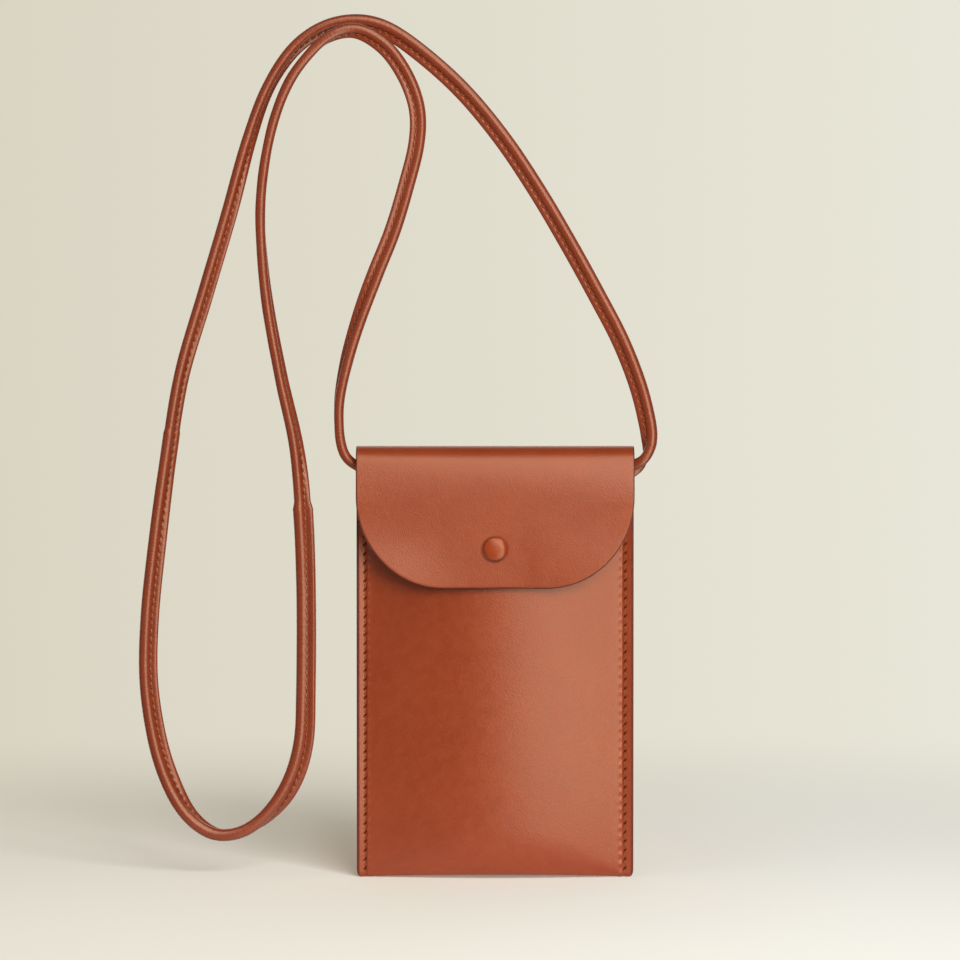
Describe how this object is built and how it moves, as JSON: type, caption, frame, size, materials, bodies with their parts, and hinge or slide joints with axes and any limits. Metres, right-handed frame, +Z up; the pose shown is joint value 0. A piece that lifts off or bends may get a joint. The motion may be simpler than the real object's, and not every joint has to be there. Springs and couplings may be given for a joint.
{
  "type": "phone pouch",
  "caption": "Slim upright leather pouch with a rounded flap, a press stud and a long round shoulder strap, for carrying a phone",
  "frame": {"origin": "on the floor under the middle of the closed pouch, the strap left out", "axes": "+X to the right seen from the front, -Y to the front with the flap, +Z up"},
  "size_m": [0.2084, 0.0206, 0.3484],
  "materials": {
    "hide": "smooth tan hide, semi-gloss",
    "strap": "thin tan hide round a cord, semi-gloss",
    "thread": "waxed thread in the colour of the hide",
    "cap": "glossy enamel in the colour of the hide",
    "stud": "satin",
    "spring": "bright wire"
  },
  "bodies": {
    "pouch": {"back_panel": "hide", "front_panel": "hide", "flap_fold": "hide", "left_seam_thread": "thread", "right_seam_thread": "thread", "snap_stud": "stud", "snap_post": "stud", "left_strap_end": "strap", "right_strap_end": "strap", "left_end_thread": "thread", "right_end_thread": "thread", "strap": "strap"},
    "flap": {"flap": "hide", "snap_cap": "cap", "snap_socket": "stud", "snap_spring": "spring"}
  },
  "joints": [
    {"name": "flap_hinge", "type": "hinge", "parent": "pouch", "child": "flap", "pos_m": [0, -0.0026, 0.173], "axis": [-1, 0, 0], "range_deg": [0, 150], "deforming": ["flap_fold"]}
  ]
}
